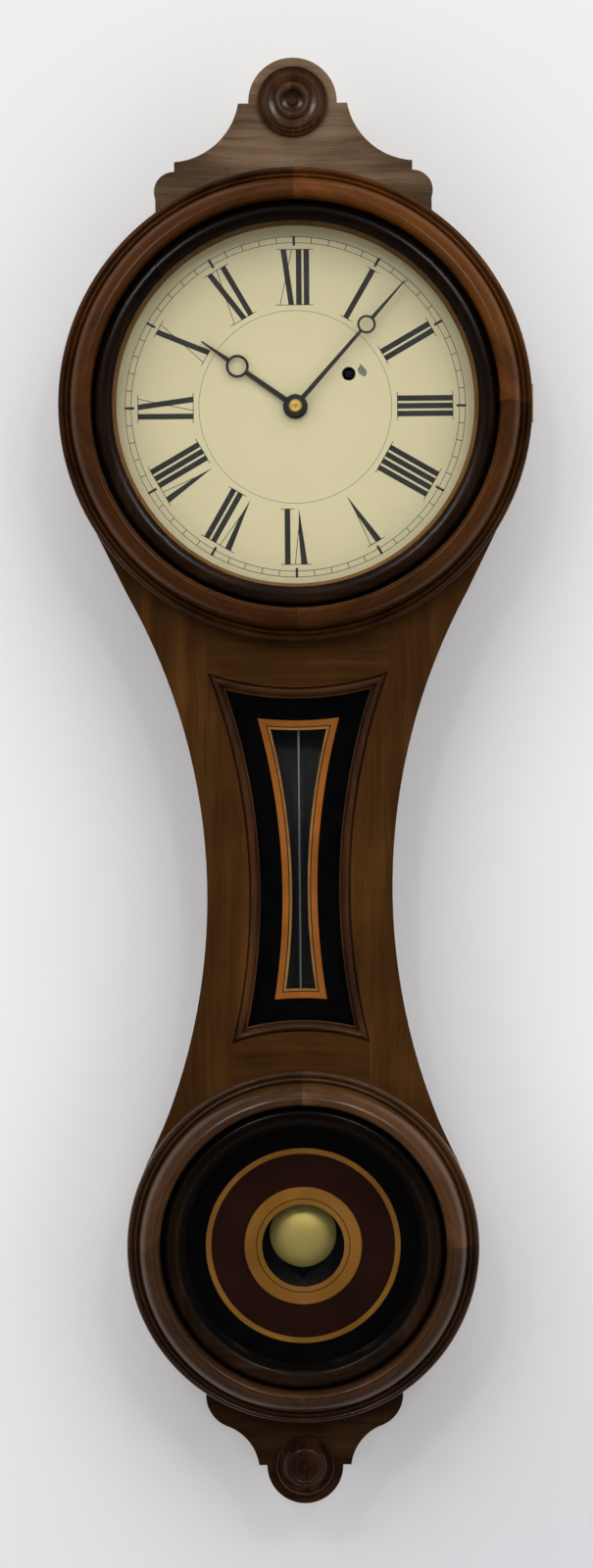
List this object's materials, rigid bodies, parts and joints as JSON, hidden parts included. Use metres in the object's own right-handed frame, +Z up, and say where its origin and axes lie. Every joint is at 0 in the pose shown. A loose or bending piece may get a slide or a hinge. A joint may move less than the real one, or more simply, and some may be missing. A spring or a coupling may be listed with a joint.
{
  "type": "figure-eight wall regulator clock",
  "caption": "Keyhole-shaped walnut wall regulator with a round painted dial, two hinged ring doors, a glazed throat, a brass pendulum and a weight-driven movement.",
  "frame": {"origin": "centre of the hanger hole on the back plane of the case, where the wall hook carries the clock", "axes": "+X to the right seen from the front, +Y into the wall, +Z up"},
  "size_m": [0.2834, 0.1, 0.8643],
  "materials": {
    "walnut": "satin lacquer",
    "walnut_crest": "satin lacquer",
    "pine": "plain",
    "dark_stain": "black stain",
    "putty": "matte",
    "painted_glass": "reverse painted",
    "clear_glass": "clear",
    "painted_dial": "aged enamel paint",
    "brass": "satin",
    "steel": "bright",
    "blued_steel": "black",
    "cast_iron": "cast"
  },
  "bodies": {
    "case": {"backboard": "walnut", "case_sides": "walnut", "upper_front_ring": "walnut", "lower_front_ring": "walnut", "front_stiles": "walnut", "throat_rails": "walnut", "crest": "walnut_crest", "drop": "walnut", "rosettes": "walnut_crest", "wood_blocks": "pine", "throat_moulding": "walnut", "throat_tablet": "painted_glass", "dial": "painted_dial", "hanger_plate": "steel", "chute_sides": "pine", "weight_baffle": "dark_stain", "back_plate": "brass", "front_plate": "brass", "pillars": "brass", "suspension_cock": "brass", "case_hinge_leaves": "brass", "hinge_pins": "brass", "weight_cable": "steel", "brass_wood_screws": "brass", "movement_screws": "blued_steel"},
    "upper_door": {"upper_bezel": "walnut", "upper_glazing_ring": "walnut", "upper_glass": "clear_glass", "upper_glass_bead": "putty", "upper_hinge_leaf": "brass", "upper_door_screws": "brass"},
    "lower_door": {"lower_bezel": "walnut", "lower_glazing_ring": "walnut", "lower_tablet": "painted_glass", "lower_glass_bead": "putty", "lower_hinge_leaf": "brass", "lower_door_screws": "brass"},
    "pendulum": {"suspension_spring": "steel", "pendulum_rod": "steel", "bob": "brass", "rating_nut": "blued_steel"},
    "pallets": {"pallet_arbor": "steel", "pallet_anchor": "steel", "crutch": "brass"},
    "centre_arbor": {"centre_wheel": "brass", "cannon_pinion": "brass", "minute_hand": "blued_steel", "hand_nut": "brass"},
    "minute_wheel": {"minute_wheel": "brass"},
    "hour_pipe": {"hour_wheel": "brass", "hour_hand": "blued_steel"},
    "great_wheel": {"great_wheel": "brass", "click_spring": "steel"},
    "click": {"click": "steel"},
    "winding_drum": {"winding_arbor": "steel", "cable_drum": "brass"},
    "third_wheel": {"third_wheel": "brass"},
    "escape_wheel": {"escape_wheel": "brass"},
    "weight": {"weight": "cast_iron"},
    "pulley": {"pulley": "brass"}
  },
  "joints": [
    {"name": "upper_door_hinge", "type": "hinge", "parent": "case", "child": "upper_door", "pos_m": [0.1402, -0.0755, -0.11], "axis": [0, 0, 1], "range_deg": [0, 110]},
    {"name": "lower_door_hinge", "type": "hinge", "parent": "case", "child": "lower_door", "pos_m": [0.1024, -0.0755, -0.6116], "axis": [0, 0, 1], "range_deg": [0, 105]},
    {"name": "pendulum_swing", "type": "hinge", "parent": "case", "child": "pendulum", "pos_m": [0, -0.0575, -0.0526], "axis": [0, 1, 0], "range_deg": [-2.5, 2.5]},
    {"name": "pallet_rock", "type": "hinge", "parent": "case", "child": "pallets", "pos_m": [0, -0.04, -0.0526], "axis": [0, 1, 0], "range_deg": [-2.5, 2.5]},
    {"name": "minute_turn", "type": "hinge", "parent": "case", "child": "centre_arbor", "pos_m": [0, -0.04, -0.11], "axis": [0, 1, 0], "continuous": true},
    {"name": "minute_wheel_turn", "type": "hinge", "parent": "case", "child": "minute_wheel", "pos_m": [-0.00848, -0.05, -0.11848], "axis": [0, 1, 0], "continuous": true},
    {"name": "hour_turn", "type": "hinge", "parent": "case", "child": "hour_pipe", "pos_m": [0, -0.06, -0.11], "axis": [0, 1, 0], "continuous": true},
    {"name": "great_wheel_turn", "type": "hinge", "parent": "case", "child": "great_wheel", "pos_m": [0.0322, -0.019, -0.0904], "axis": [0, 1, 0], "continuous": true},
    {"name": "third_wheel_turn", "type": "hinge", "parent": "case", "child": "third_wheel", "pos_m": [-0.01013, -0.026, -0.08824], "axis": [0, 1, 0], "continuous": true},
    {"name": "escape_wheel_turn", "type": "hinge", "parent": "case", "child": "escape_wheel", "pos_m": [0, -0.035, -0.071], "axis": [0, 1, 0], "continuous": true},
    {"name": "click_pivot", "type": "hinge", "parent": "great_wheel", "child": "click", "pos_m": [0.0422, -0.021, -0.07308], "axis": [0, 1, 0], "range_deg": [0, 8], "deforming": ["click_spring"]},
    {"name": "weight_travel", "type": "slide", "parent": "case", "child": "weight", "axis": [0, 0, 1], "range_m": [0, 0.3799], "deforming": ["weight_cable"]},
    {"name": "drum_wind", "type": "hinge", "parent": "case", "child": "winding_drum", "pos_m": [0.0322, -0.03, -0.0904], "axis": [0, 1, 0], "range_deg": [0, 5691.6]},
    {"name": "pulley_turn", "type": "hinge", "parent": "weight", "child": "pulley", "pos_m": [0.00855, -0.0243, -0.55266], "axis": [0, 1, 0], "range_deg": [-1361.4, 0]}
  ],
  "couplings": [
    {"joint": "pallet_rock", "follows": "pendulum_swing", "ratio": 1},
    {"joint": "minute_wheel_turn", "follows": "minute_turn", "ratio": -0.33333},
    {"joint": "hour_turn", "follows": "minute_turn", "ratio": 0.083333},
    {"joint": "great_wheel_turn", "follows": "minute_turn", "ratio": -0.083333},
    {"joint": "third_wheel_turn", "follows": "minute_turn", "ratio": -9},
    {"joint": "escape_wheel_turn", "follows": "minute_turn", "ratio": 81},
    {"joint": "drum_wind", "follows": "weight_travel", "rad_per_m": 261.44},
    {"joint": "pulley_turn", "follows": "weight_travel", "rad_per_m": -62.5}
  ]
}
